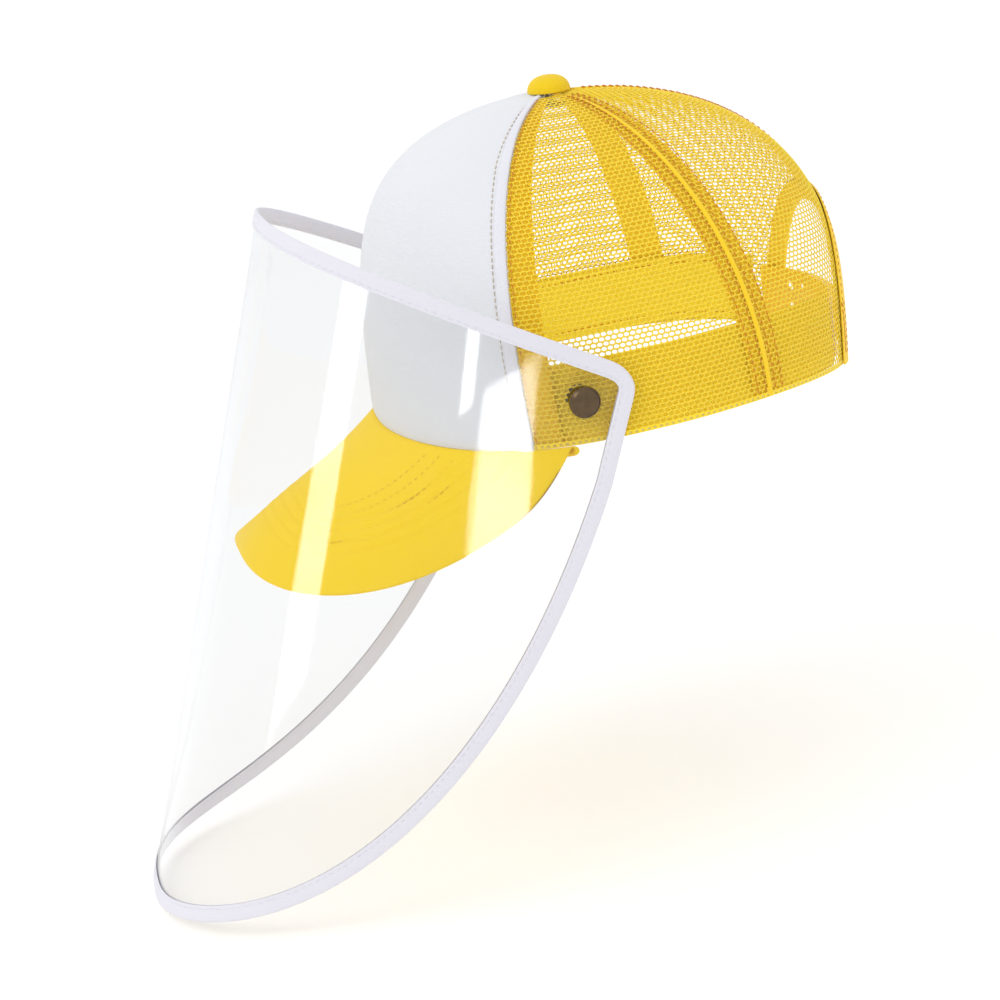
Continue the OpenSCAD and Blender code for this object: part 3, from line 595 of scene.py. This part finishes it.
# %% Tapes, welts and seam stitches
TAPE_DEPTH, TAPE_T = 1.25, 0.5
front_tape = seam_ribbon("front_tape_left", FRONT_SEAM, 0.4, 11.5, TAPE_DEPTH, TAPE_T)
dress_pair(front_tape, "cap", tape_yellow, "seam_tape", "seam_tape_front")
side_tape = seam_ribbon("side_tape_left", SIDE_SEAM, -7.5, 7.5, TAPE_DEPTH, TAPE_T)
dress_pair(side_tape, "cap", tape_yellow, "seam_tape", "seam_tape_side")
ARCH_BIND = 8
back_low = float(climb_at(180, ARCH_H + ARCH_BIND + 1)) / float(climb_top(180, 8.75))
back_tape = seam_ribbon("back_tape", BACK_SEAM, -6, 6, TAPE_DEPTH, TAPE_T, low=back_low)
dress(back_tape, "cap", tape_yellow, "seam_tape", "seam_tape_back")

welt = seam_ribbon("side_welt_left", SIDE_SEAM, -1.1, 1.1, 0.25, 0.4, puff=0.12, cols=9)
dress_pair(welt, "cap", tape_yellow, "mesh")
back_welt = seam_ribbon("back_welt", BACK_SEAM, -1.1, 1.1, 0.25, 0.4, low=back_low, puff=0.12, cols=9)
dress(back_welt, "cap", tape_yellow, "mesh")
for offset, word in ((-2.4, "fore"), (2.4, "aft"), (-6.2, "outer_fore"), (6.2, "outer_aft")):
    row = stitch_row(f"side_thread_{word}_left", *seam_path(SIDE_SEAM, offset, 0.05), 1.7, 1.2, 0.26)
    dress_pair(row, "cap", thread_yellow, "mesh")
row = stitch_row("front_thread_left", *seam_path(FRONT_SEAM, 1.6, 0.0), 1.7, 1.2, 0.24)
dress_pair(row, "cap", thread_yellow, "mesh")
for offset, word in ((-2.2, "right"), (2.2, "left")):
    path, out = seam_path(BACK_SEAM, offset, 0.05, back_low + 0.01)
    dress(stitch_row(f"back_thread_{word}", path, out, 1.7, 1.2, 0.26), "cap", thread_yellow, "mesh")

# %% [markdown]
# ## Sweatband
# A folded band of plain-weave cloth lines the lower edge and stops short of the back arch.
# It is thicker at its two folded edges. It could be padded by a simulation, but the band is
# held flat against the crown all round, so a formula for its thickness is enough.

# %% Sweatband
BAND_FRONT, BAND_SIDE, BAND_WIDE = 3.62, 2.3, 31


def band_depth(t):
    """The band lies deeper behind the foam than behind the net."""
    ease = np.clip((np.abs(t) - 67) / 5, 0, 1)
    return BAND_FRONT + (BAND_SIDE - BAND_FRONT) * ease * ease * (3 - 2 * ease)


band_end = 180 - arch_half - 9
t = np.linspace(-band_end, band_end, 321)[None, :]
k = np.linspace(0, 1, 25)[:, None]
depth = band_depth(t) + 0 * k
fold = 0.45 * np.exp(-(k * BAND_WIDE / 2.2) ** 2) + 0.45 * np.exp(-((1 - k) * BAND_WIDE / 2.2) ** 2)
edge = np.clip(1 - np.abs(2 * k - 1) ** 24, 0, 1) ** 0.5
a = climb_at(t, 1 + BAND_WIDE * k)
ripple = 0.12 * np.sin(t * 1.9 + 3 * k)
outer = on_crown(t, a, -depth - 0.7 + 0.68 * edge)
inner = on_crown(t, a, -depth - 0.7 - (0.7 + fold + ripple) * edge)
dress(two_faced("sweatband_cloth", outer, inner, sharp=180), "cap", band_yellow, "sweatband", "sweatband")
for height_mm, word in ((4.5, "low"), (28.5, "high")):
    line_t = np.linspace(band_end - 0.5, -band_end + 0.5, 500)
    line_a = climb_at(line_t, height_mm + 0 * line_t)
    path = on_crown(line_t, line_a, -band_depth(line_t) - 1.45)
    row = stitch_row(f"band_thread_{word}", path, -crown_out(line_t, line_a), 2.2, 0.9, 0.22)
    dress(row, "cap", thread_yellow, "sweatband")

# %% [markdown]
# ## Visor
# A stiff board sits between two cloth covers. Four rows of stitching run parallel to the
# outer edge and pull the cloth down, which leaves soft ridges between them. The distance from
# the edge is measured for every grid point, and the grooves are cut where it matches a row.

# %% Visor surface
VISOR_L, VISOR_SLOPE, VISOR_R, VISOR_EX = 66, 31, 86.9, 2.7
COVER_T, BOARD_T, PLY = 0.8, 2.0, 0.1
VISOR_INSET, VISOR_TUCK, ROOT_BLEND = 4.5, 2.5, 25
visor_half = OPENING_W / 2 - VISOR_INSET
STACK = 2 * COVER_T + BOARD_T + 2 * PLY


def rim_angle(x):
    return np.degrees(np.arcsin(np.minimum(np.abs(x) / (OPENING_W / 2), 1) ** (RIM_EX / 2))) * np.sign(x)


def visor_sheet(x, y):
    return np.sqrt(VISOR_R ** 2 - x * x) - VISOR_R + math.tan(math.radians(VISOR_SLOPE)) * (y + OPENING_L / 2)


def visor_z(x, y):
    rim = rim_xy(rim_angle(x))[1]
    gap = rim_z(rim_angle(x)) - PLY * 1.5 - visor_sheet(x, rim)
    fade = np.maximum(1 - np.maximum(rim - y, 0) / ROOT_BLEND, 0) ** 2
    return visor_sheet(x, np.minimum(y, rim)) + gap * fade


def visor_out(x, y):
    e = 0.3
    dx = (visor_z(x + e, y) - visor_z(x - e, y)) / (2 * e)
    dy = (visor_z(x, y + e) - visor_z(x, y - e)) / (2 * e)
    return unit(np.stack([-dx, -dy, np.ones_like(dx)], -1))


root_y = rim_xy(rim_angle(visor_half))[1] - 1
visor_reach = OPENING_L / 2 + VISOR_L + root_y


def visor_edge(g):
    g = np.radians(g)
    x = visor_half * power(np.cos(g), 2 / VISOR_EX)
    y = root_y - visor_reach * np.abs(np.sin(g)) ** (2 / VISOR_EX)
    return np.stack([x, np.minimum(y, rim_xy(rim_angle(x))[1] - 1)], -1)


def on_visor(x, y, lift):
    return np.stack([x, y, visor_z(x, y)], -1) + visor_out(x, y) * np.asarray(lift)[..., None]


# %% Visor covers
STITCH_ROWS = (17.5, 22.5, 27.5, 32.5)
g = np.linspace(178, 2, 301)
edge_xy = visor_edge(g)
root_xy = np.stack([edge_xy[:, 0], rim_xy(rim_angle(edge_xy[:, 0]))[1] + VISOR_TUCK], -1)
r = (np.linspace(0, 1, 121) ** 0.85)[:, None, None]
plan = root_xy[None] + (edge_xy - root_xy)[None] * r
plan = plan[::-1]
edge_fine = visor_edge(np.linspace(179, 1, 1200))
edge_line = np.stack([edge_fine[:, 0], edge_fine[:, 1], visor_z(edge_fine[:, 0], edge_fine[:, 1])], -1)
spots = on_visor(plan[..., 0], plan[..., 1], np.zeros(plan.shape[:2]))
from_edge = np.concatenate([np.sqrt(((spots[i][:, None] - edge_line[None]) ** 2).sum(-1)).min(1)[None]
                            for i in range(len(spots))])
groove = sum(0.55 * np.exp(-((from_edge - d) / 0.9) ** 2) for d in STITCH_ROWS)
swell = 0.35 * np.exp(-((from_edge - 25) / 9.5) ** 4)
ROLL = 2.4
from_end = np.minimum(np.linalg.norm(plan - plan[:, :1], axis=-1),
                      np.linalg.norm(plan - plan[:, -1:], axis=-1))
from_side = np.minimum(from_edge, from_end)
turned = STACK / 2 * (1 - np.sqrt(np.clip(1 - np.clip((ROLL - from_side) / ROLL, 0, 1) ** 2, 0, 1)))
turned[0] = turned[:, 0] = turned[:, -1] = STACK / 2
top_face = on_visor(plan[..., 0], plan[..., 1], swell - groove - turned)
top_back = on_visor(plan[..., 0], plan[..., 1], -np.minimum(COVER_T + turned, STACK / 2))
visor_top = two_faced("visor_top_cloth", top_face, top_back)
dress(visor_top, "cap", visor_yellow, "visor_cloth", "visor_top_cover")

low_face = on_visor(plan[..., 0], plan[..., 1], -STACK - swell * 0.5 + groove * 0.8 + turned)
low_back = on_visor(plan[..., 0], plan[..., 1], -np.maximum(STACK - COVER_T - turned, STACK / 2))
visor_under = two_faced("visor_under_cloth", low_back, low_face)
dress(visor_under, "cap", visor_yellow, "visor_cloth", "visor_under_cover")


# %% Visor stitching
def inset_line(d, count=900):
    line = visor_edge(np.linspace(172, 8, count))
    ahead = unit(np.gradient(line, axis=0))
    inner = line + d * 0.93 * np.stack([-ahead[:, 1], ahead[:, 0]], -1)
    z_inside = inner[:, 1] < rim_xy(rim_angle(inner[:, 0]))[1] - 0.5
    inner = inner[z_inside & (np.abs(inner[:, 0]) < visor_half - d * 0.35)]
    return inner


for n, d in enumerate(STITCH_ROWS):
    line = inset_line(d)
    lift = np.full(len(line), -0.12)
    row = stitch_row(f"visor_thread_{n + 1}", on_visor(line[:, 0], line[:, 1], lift),
                     visor_out(line[:, 0], line[:, 1]), 2.3, 0.8, 0.24)
    dress(row, "cap", thread_visor, "visor_cloth")
print("visor grid:", spots.shape[:2], "deepest groove 0.55 mm")

# %% [markdown]
# ## Button
# A tin shell covered with a disc of the same cloth. The disc is gathered under the rim, so
# tiny pleats show at the edge. It is turned on a lathe of points, then the pleats are added.

# %% Cloth button
low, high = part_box("crown_button")
button_r = (high.x - low.x) / 2 / MM
centre = np.array([(low.x + high.x) / 2, (low.y + high.y) / 2, low.z]) / MM
tall = (high.z - low.z) / MM
turn = np.linspace(0, 2 * np.pi, 145)[None, :-1]
k = np.linspace(0, 1, 40)[:, None]
bow = k * np.pi / 2
radius = button_r * np.cos(bow) ** 0.85 * (1 + 0.012 * np.cos(turn * 24) * np.exp(-k * 9))
rise = tall * np.sin(bow) ** 0.92
outer = np.stack([radius * np.cos(turn), radius * np.sin(turn), rise + 0 * turn], -1) + centre
inner = np.stack([radius * 0.9 * np.cos(turn), radius * 0.9 * np.sin(turn), rise * 0.88 + 0 * turn], -1)
button_cloth = two_faced("button_cloth_cap", outer, inner + centre, ring=True)
dress(button_cloth, "cap", button_yellow, "button_cloth", "crown_button")

# %% [markdown]
# ## Arch binding
# The raw edge of the back opening is wrapped in folded tape, on both faces of the net and
# round its edge. The tape's cross-section is a slim U, swept along the arch.

# %% Arch binding
def by_arch(b, w, lift):
    foot = [np.array(rim_xy(np.array(v - arch_half))) for v in (181.0, 179.0)]
    per = 2 / math.dist(*foot)
    t = 180 + (arch_half + w * per) * power(-np.cos(np.radians(b)), 2 / ARCH_EX)
    h = (ARCH_H + w) * np.sin(np.radians(b)) ** (2 / ARCH_EX)
    a = climb_at(t, h)
    return on_crown(t, a, lift), crown_out(t, a)


even_b = np.linspace(0.2, 179.8, 241)[None, :]
b = 90 - 45 * np.cos(np.radians(even_b)) - (90 - even_b) / 2
section = np.array([(8, 0.3), (7.9, 0.75), (7.2, 0.95), (4, 0.98), (0.6, 0.95), (-0.45, 0.72), (-0.9, 0.2),
                    (-0.95, -0.5), (-0.9, -1.2), (-0.45, -1.72), (0.6, -1.95), (4, -1.98), (7.2, -1.95),
                    (7.9, -1.75), (8, -1.3)])
inside = np.array([(7.9, 0.28), (7.8, 0.3), (7, 0.3), (4, 0.3), (0.4, 0.3), (-0.15, 0.2), (-0.2, 0),
                   (-0.22, -0.5), (-0.2, -1), (-0.15, -1.2), (0.4, -1.3), (4, -1.3), (7, -1.3),
                   (7.8, -1.3), (7.9, -1.28)])
bind = [by_arch(b + 0 * p[:, :1], p[:, :1] + 0 * b, p[:, 1:] + 0 * b)[0] for p in (section, inside)]
arch_tape = two_faced("arch_tape", bind[0][:, ::-1], bind[1][:, ::-1])
dress(arch_tape, "cap", tape_yellow, "seam_tape", "arch_binding")
line_b = np.linspace(3, 177, 500)
row = stitch_row("arch_thread", *by_arch(line_b, 6.4 + 0 * line_b, 0.93 + 0 * line_b), 1.9, 1.0, 0.24)
dress(row, "cap", thread_yellow, "seam_tape")

# %% [markdown]
# ## Straps
# The two straps are moulded plastic, so their exact solids stay and only the finish changes.
# Two rows of stitches hold each strap's root behind the net.

# %% Straps and root stitches
for name in ("peg_strap", "hole_strap"):
    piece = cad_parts[name]
    piece.data.materials.clear()
    piece.data.materials.append(strap_plastic)
for offset, word in ((1.2, "near"), (4.6, "far")):
    foot = 180 - arch_half
    per = np.linalg.norm(crown(foot + 0.5, 5) - crown(foot - 0.5, 5))
    line_h = np.linspace(3.5, 27, 120)
    line_t = np.full_like(line_h, foot - (offset + 1) / per)
    line_a = climb_at(line_t, line_h)
    row = stitch_row(f"strap_thread_{word}_left", on_crown(line_t, line_a, 0.95 + 0 * line_t),
                     crown_out(line_t, line_a), 1.7, 1.1, 0.28)
    dress_pair(row, "cap", thread_yellow, "mesh")

# %% [markdown]
# ## Film shield
# A flat sheet of clear plastic, bent by its two snaps. All straight lines of a bent sheet meet
# at one far point, like the lines of a cone, so the film is built from its top edge and that
# point. The white tape is folded over the edge all round and sewn through.

# %% Film surface
SHIELD_W, SHIELD_H, FILM_EX, VISOR_CLEAR = OPENING_W + 4, 291, 2.7, 13.5
PITCH, LEAN = math.radians(29), math.radians(19)
FILM_BACK, FILM_RISE = -8.4, 23.6
SHIELD_U = ((OPENING_L / 2 + VISOR_L + VISOR_CLEAR + FILM_BACK
             - (FILM_RISE + math.tan(math.radians(VISOR_SLOPE)) * VISOR_L) * math.tan(LEAN))
            / (math.cos(PITCH) + math.sin(PITCH) * math.tan(LEAN)))
nose = np.radians(90 * (1 - np.linspace(0, 1, 4001)) ** 1.6)
nose_x = SHIELD_W / 2 * np.cos(nose) ** (2 / FILM_EX)
nose_y = SHIELD_U * np.sin(nose) ** (2 / FILM_EX)
walk = measured(np.stack([nose_x, nose_y, 0 * nose_x], -1))
half_len = walk[-1]
apex = (np.array([0, FILM_BACK - 0.6 * SHIELD_U * math.cos(PITCH),
                  FILM_RISE + 0.6 * SHIELD_U * math.sin(PITCH)])
        - SHIELD_H / 0.09 * np.array([0, math.sin(LEAN), math.cos(LEAN)]))


def film_top(s):
    x = np.sign(s) * np.interp(np.abs(s), walk, nose_x)
    f = np.interp(np.abs(s), walk, nose_y) - np.maximum(np.abs(s) - half_len, 0)
    return np.stack([x, FILM_BACK - f * math.cos(PITCH), FILM_RISE + f * math.sin(PITCH)], -1)


def on_film(s, h, lift):
    top = film_top(s)
    down = unit(apex - top)
    out = -unit(np.cross(film_top(s + 0.8) - film_top(s - 0.8), down))
    return top + down * np.asarray(h)[..., None] + out * np.asarray(lift)[..., None], out


def film_low(s):
    return SHIELD_H * (1 - np.minimum(np.abs(s) / half_len, 1) ** 1.9) ** 0.44


def film_high(s):
    e = half_len - np.abs(s)
    return np.where(e < 12, 12 - np.sqrt(np.maximum(144 - np.maximum(12 - e, 0) ** 2, 0)), 0)


end = half_len - 1.5
s = end * np.sin(np.linspace(-np.pi / 2, np.pi / 2, 301))[None, :]
k = np.linspace(0, 1, 61)[:, None]
h = film_low(s) * (1 - k) + film_high(s) * k
film = two_faced("film_sheet", on_film(s + 0 * k, h, 0.25 + 0 * h)[0], on_film(s + 0 * k, h, -0.25 + 0 * h)[0])
dress(film, "shield", clear_film, "film", "shield_film")
print("film half length", round(float(half_len), 1), "reach", round(SHIELD_U, 1))

# %% Binding tape round the film
fine = end * np.sin(np.linspace(-np.pi / 2, np.pi / 2, 3001))
rise = np.linspace(0, 1, 200)[1:-1]
high, low = film_high(end), film_low(end)
loop = np.concatenate([np.stack([fine, film_high(fine)], 1),
                       np.stack([np.full_like(rise, end), high + (low - high) * rise], 1),
                       np.stack([fine[::-1], film_low(fine[::-1])], 1),
                       np.stack([np.full_like(rise, -end), low + (high - low) * rise], 1)])
closed = np.concatenate([loop, loop[:1]])
run = measured(closed)
count = 820
steps = np.linspace(0, run[-1], count, endpoint=False)
even = np.stack([np.interp(steps, run, closed[:, c]) for c in (0, 1)], 1)
for _ in range(4):
    even = even * 0.5 + 0.25 * (np.roll(even, 1, 0) + np.roll(even, -1, 0))
ahead = unit(np.roll(even, -1, 0) - np.roll(even, 1, 0))
inward = np.stack([-ahead[:, 1], ahead[:, 0]], 1)
fold_out = np.array([(6, 0.5), (5.95, 0.82), (5.4, 0.93), (3, 0.98), (0.4, 0.93), (-0.4, 0.72), (-0.72, 0.3),
                     (-0.76, 0), (-0.72, -0.3), (-0.4, -0.72), (0.4, -0.93), (3, -0.98), (5.4, -0.93),
                     (5.95, -0.82), (6, -0.5)])
fold_in = np.array([(5.9, 0.42), (5.8, 0.42), (5, 0.42), (3, 0.42), (0.3, 0.42), (-0.1, 0.3), (-0.2, 0.12),
                    (-0.2, 0), (-0.2, -0.12), (-0.1, -0.3), (0.3, -0.42), (3, -0.42), (5, -0.42),
                    (5.8, -0.42), (5.9, -0.42)])


def along_edge(p):
    place = even[None] + p[:, None, :1] * inward[None]
    return on_film(place[..., 0], place[..., 1], p[:, 1:] + 0 * place[..., 0])[0]


tape = two_faced("film_tape", along_edge(fold_out), along_edge(fold_in), ring=True)
dress(tape, "shield", binding_white, "film_binding", "shield_binding")
for lift, word in ((0.9, "outer"), (-0.9, "inner")):
    place = even + 4.7 * inward
    path, out = on_film(place[:, 0], place[:, 1], np.full(count, lift))
    row = stitch_row(f"film_thread_{word}", path, out * np.sign(lift), 2.4, 0.9, 0.2)
    dress(row, "shield", thread_white, "film_binding")

# %% [markdown]
# ## Snaps
# Each snap has a spun brass cap with a rolled rim and a dimple in its middle. The cap's
# profile is turned about the snap's own axis. Socket, stud and post keep their solids.

# %% Snap caps
low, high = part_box("snap_cap_left")
snap_y, snap_z = (low.y + high.y) / 2 / MM, (low.z + high.z) / 2 / MM
snap_r, top_x = (high.z - low.z) / 2 / MM, high.x / MM
profile = np.array([(0.0, -0.42), (0.35, -0.40), (0.8, -0.28), (1.15, -0.08), (1.4, 0.0), (1.8, 0.0),
                    (2.6, -0.13), (3.6, -0.42), (4.5, -0.86), (5.1, -1.30), (5.5, -1.72), (5.75, -2.05),
                    (5.95, -2.15), (6.15, -2.3), (6.25, -2.6), (6.2, -2.9), (6.0, -3.12), (5.6, -3.2)])
turn = np.linspace(0, 2 * np.pi, 97)[None, :-1]
prof_r, prof_x = (profile[::-1, 0] * snap_r / 6.25)[:, None], (profile[::-1, 1] + top_x)[:, None]
outer = np.stack([prof_x + 0 * turn, snap_y + prof_r * np.cos(turn), snap_z + prof_r * np.sin(turn)], -1)
inner = np.stack([np.minimum(prof_x - 0.5, top_x - 0.9) + 0 * turn, snap_y + prof_r * 0.93 * np.cos(turn),
                  snap_z + prof_r * 0.93 * np.sin(turn)], -1)
inner[0] = outer[0] * 0.98 + inner[0] * 0.02
dome = two_faced("snap_dome_left", outer, inner, ring=True, sharp=60)
dress_pair(dome, "shield", antique, "snap_metal", "snap_cap")

# %% Exact nodes that stay
def keep_solid(material, slot, *names):
    for name in names:
        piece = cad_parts[name]
        piece.data.materials.clear()
        piece.data.materials.append(material)


keep_solid(antique, "snap_metal", "snap_stud_left", "snap_stud_right", "snap_socket_left", "snap_socket_right")
keep_solid(tin, "tin", "snap_post_left", "snap_post_right", "button_core", "button_rivet", "button_washer")
keep_solid(board, "visor_board", "visor_board")

# %% [markdown]
# ## Floor and light
# A pale sweep under a bright sky of soft light. One large softbox stands high at the left of
# the view. Three strips stand where the film mirrors them towards the viewer, which draws the
# soft upright bands that tell the eye the film is there. Light linking keeps the strips off
# everything but the film. The floor glows a little, so that it stays white under the cap.

# %% Floor
floor_z = float(min(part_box("shield_binding")[0].z, -0.1)) - 0.001
bpy.ops.mesh.primitive_plane_add(size=30, location=(0, 0, floor_z))
floor = bpy.context.object
floor.name = "floor"
floor_white, tree, shader = new_finish("floor_white")
shader.inputs["Base Color"].default_value = (0.93, 0.93, 0.93, 1)
shader.inputs["Roughness"].default_value = 0.9
shader.inputs["Emission Color"].default_value = (1, 1, 1, 1)
shader.inputs["Emission Strength"].default_value = 0.07
floor.data.materials.append(floor_white)


# %% Lights
def softbox(name, place, target, width, height, power_w, colour=(1, 1, 1)):
    data = bpy.data.lights.new(name, "AREA")
    data.shape, data.size, data.size_y, data.energy, data.color = "RECTANGLE", width, height, power_w, colour
    lamp = bpy.data.objects.new(name, data)
    bpy.context.scene.collection.objects.link(lamp)
    aim = Vector(target) - Vector(place)
    lamp.matrix_world = Matrix.Translation(place) @ aim.to_track_quat("-Z", "Y").to_matrix().to_4x4()
    return lamp


def strip_seen_in_film(name, s, h, distance, width, height, power_w):
    """A tall softbox that the film at (s, h) mirrors towards the camera."""
    spot, out = on_film(np.array([float(s)]), np.array([float(h)]), np.array([0.3]))
    spot, out = Vector(spot[0] * MM), Vector(out[0])
    sight = (eye - spot).normalized()
    if sight.dot(out) < 0:
        out = -out
    mirror = (2 * sight.dot(out) * out - sight).normalized()
    lamp = softbox(name, spot + mirror * distance, spot, width, height, power_w)
    lamp.light_linking.receiver_collection = film_only
    print(name, "at", [round(v, 2) for v in lamp.location])
    return lamp


film_only = bpy.data.collections.new("film_only")
film_only.objects.link(film)
world = bpy.data.worlds.new("soft_sky")
world.use_nodes = True
world.node_tree.nodes["Background"].inputs["Color"].default_value = (1, 1, 1, 1)
world.node_tree.nodes["Background"].inputs["Strength"].default_value = 1.04
bpy.context.scene.world = world
bpy.context.scene.view_settings.view_transform = "Standard"
softbox("key", (0.6, -1.5, 1.7), (0, -0.05, 0), 1.2, 1.2, 9)
strip_seen_in_film("strip_front", 76, 105, 1.2, 0.34, 1.2, 18)
strip_seen_in_film("strip_side", 147, 66, 0.3, 0.07, 0.135, 0.48)
strip_seen_in_film("strip_fork", 124, 14, 0.3, 0.018, 0.06, 0.08)
